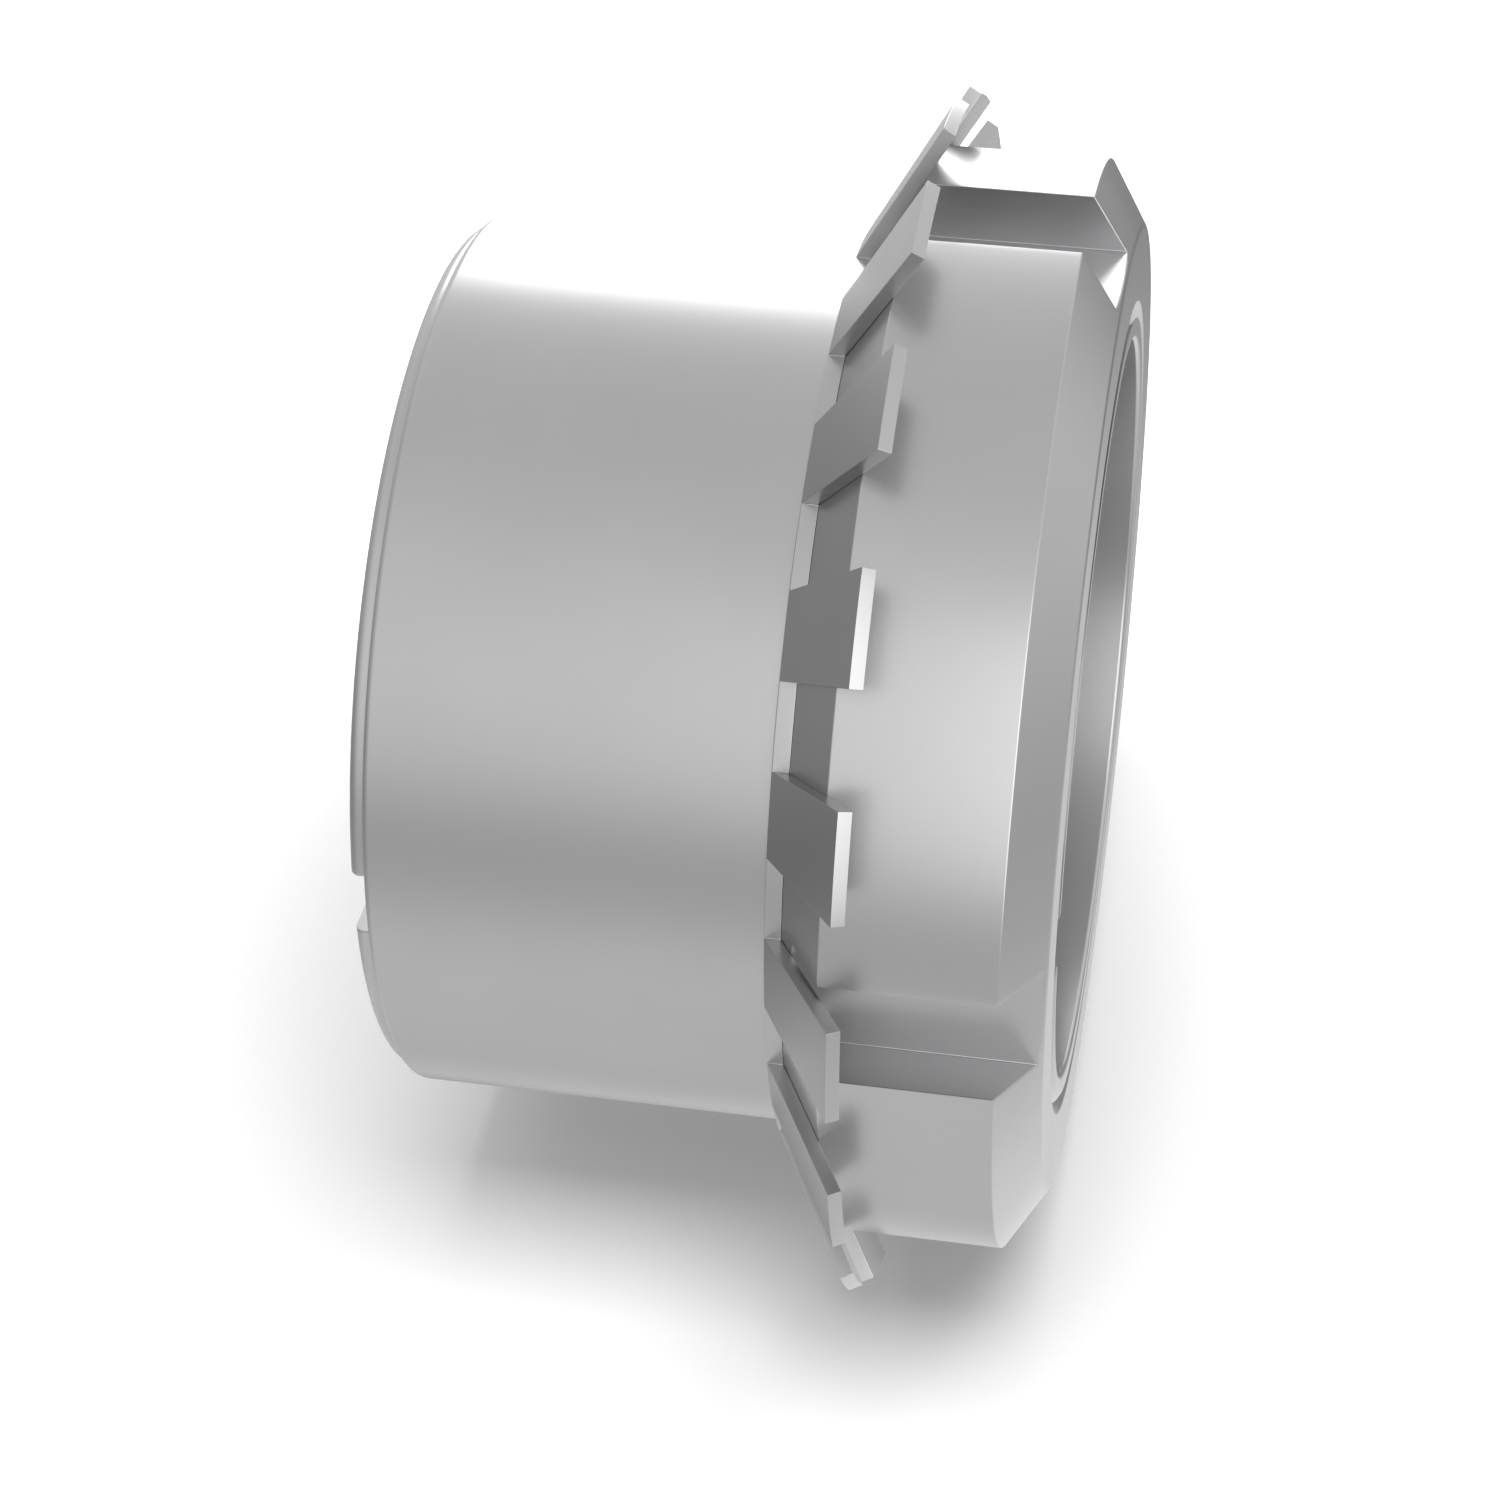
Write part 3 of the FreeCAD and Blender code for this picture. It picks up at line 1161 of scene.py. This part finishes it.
    def make_paper(self) -> bpy.types.Material:
        """Make white paper that keeps the part's shadow, glows less around a spot under the part, which is
        painted shade about that shadow, and fades to white into the surroundings.

        Returns:
            The material, seen from its front alone.
        """
        material = bpy.data.materials.new("studio_paper")
        material.use_nodes = True
        graph = Graph(material.node_tree)
        graph.tree.nodes.remove(graph.find("Principled BSDF"))
        path = graph.add("LightPath").outputs
        seen = graph.greatest(path["Is Camera Ray"], path["Is Glossy Ray"], path["Is Transmission Ray"])
        place = graph.add("TexCoord")
        # The glow is least around the spot under the part: painted shade that deepens and widens the part's
        # real shadow
        middle = [part * MM for part in self.painted_shade_middle]
        distance = graph.add("VectorMath", {0: place.outputs["Object"], 1: middle}, operation="DISTANCE")
        fade = graph.add("MapRange", {
            "Value": distance.outputs["Value"],
            "From Min": self.fade_start * MM,
            "From Max": self.fade_end * MM,
            "To Min": self.paper_lift,
            "To Max": 1.0,
        }, interpolation_type="SMOOTHSTEP")
        glow = graph.add("Emission", {"Strength": graph.work_out("MULTIPLY", fade.outputs[0], seen)})
        matt = graph.add("BsdfDiffuse", {"Color": (*[self.paper_colour] * 3, 1.0)})
        surface = graph.add("AddShader", {0: matt.outputs[0], 1: glow.outputs[0]})
        # The back of the paper shows nothing, and it stops no lamp
        side = graph.add("NewGeometry")
        clear = graph.add("BsdfTransparent")
        one_way = graph.add("MixShader", {
            0: graph.greatest(side.outputs["Backfacing"], path["Is Shadow Ray"]),
            1: surface.outputs[0],
            2: clear.outputs[0],
        })
        graph.feed(graph.find("Material Output").inputs["Surface"], one_way.outputs[0])
        return material

    def light_surroundings(self) -> None:
        """Light the part softly from everywhere, in front of a white background."""
        world = bpy.data.worlds.new("studio_room")
        bpy.context.scene.world = world
        world.use_nodes = True
        graph = Graph(world.node_tree)
        room = graph.find("Background")
        graph.feed(room.inputs["Color"], (1.0, 1.0, 1.0, 1.0))
        graph.feed(room.inputs["Strength"], self.room_light)
        path = graph.add("LightPath").outputs
        mirrored = graph.greatest(path["Is Glossy Ray"], path["Is Transmission Ray"])
        # What the steel throws on the paper comes from the plain room, not from its bands
        on_steel = graph.work_out("LESS_THAN", path["Diffuse Depth"], 0.5)
        mirrored = graph.work_out("MULTIPLY", mirrored, on_steel)
        # A reflection shows the bands, and the camera plain white
        level = graph.add("Mix", {0: mirrored, 2: 1.0, 3: self.band_level(graph)})
        white = graph.add("Background", {"Color": (1.0, 1.0, 1.0, 1.0), "Strength": level.outputs[0]})
        mix = graph.add("MixShader", {
            0: graph.greatest(path["Is Camera Ray"], mirrored),
            1: room.outputs[0],
            2: white.outputs[0],
        })
        graph.feed(graph.find("World Output").inputs["Surface"], mix.outputs[0])

    def band_level(self, graph: Graph) -> bpy.types.NodeSocket:
        """Work out how bright the room is in each direction, with its bands and patches.

        Args:
            graph: The world's nodes.

        Returns:
            The brightness.
        """
        place = graph.add("TexCoord").outputs["Generated"]
        height = graph.work_out("MULTIPLY_ADD", self.along(graph, place, self.room_up), 0.5, 0.5)
        bands = graph.add("ValToRGB", {0: height})
        bands.color_ramp.interpolation = "B_SPLINE"
        stops = bands.color_ramp.elements
        while len(stops) < len(self.room_bands):
            stops.new(0.5)
        for stop, (position, level) in zip(stops, self.room_bands):
            stop.position = position
            stop.color = (*[level / self.brightest_band] * 3, 1.0)
        banded = graph.work_out("MULTIPLY", bands.outputs["Color"], self.brightest_band)
        for patch in self.room_patches:
            shade = graph.add("MapRange", {
                "Value": self.along(graph, place, patch.direction),
                "From Min": patch.rim,
                "From Max": patch.core,
                "To Min": 1.0,
                "To Max": patch.level,
            })
            banded = graph.work_out("MULTIPLY", banded, shade.outputs[0])
        return banded

    def along(self, graph: Graph, place: bpy.types.NodeSocket,
              direction: tuple[float, float, float]) -> bpy.types.NodeSocket:
        """Measure how far a direction of the room agrees with a given one.

        Args:
            graph: The world's nodes.
            place: The direction of the room.
            direction: The given direction.

        Returns:
            1 where they agree and -1 where they are opposite.
        """
        product = graph.add("VectorMath", {0: place, 1: direction}, operation="DOT_PRODUCT")
        return product.outputs["Value"]


def corners(bounds: tuple[Vector, Vector]) -> list[list[float]]:
    """Write a box as plain lists.

    Args:
        bounds: Lowest and highest corner.

    Returns:
        The same as lists of numbers.
    """
    return [list(bounds[0]), list(bounds[1])]


def main() -> None:
    """Build and dress every piece, then the studio."""
    logging.basicConfig(level=logging.INFO, format="%(message)s")
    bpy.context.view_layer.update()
    marks = {
        Lay.TURNED: turned_marks_group(),
        Lay.ROLLED: straight_marks_group("Rolled Marks", (STREAK_SCALE, 1.0, 1.0)),
        Lay.MILLED: straight_marks_group("Milled Marks", (1.0, 1.0, STREAK_SCALE)),
    }
    shop = Finishing(marks, handling_group())
    parts: dict[str, SteelPart] = {
        "inner_ring": InnerRing(),
        "outer_ring": TaperRing(),
        "lock_washer": TabWasher(),
        "lock_nut": SlottedNut(),
    }
    for node, part in parts.items():
        piece = part.build()
        part.dress(piece, shop)
        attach(piece, node)
        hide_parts(node)
        log.info("%s stands for %s with %d faces", piece.name, node, len(piece.data.polygons))
    Studio().build()


if __name__ == "__main__":
    main()
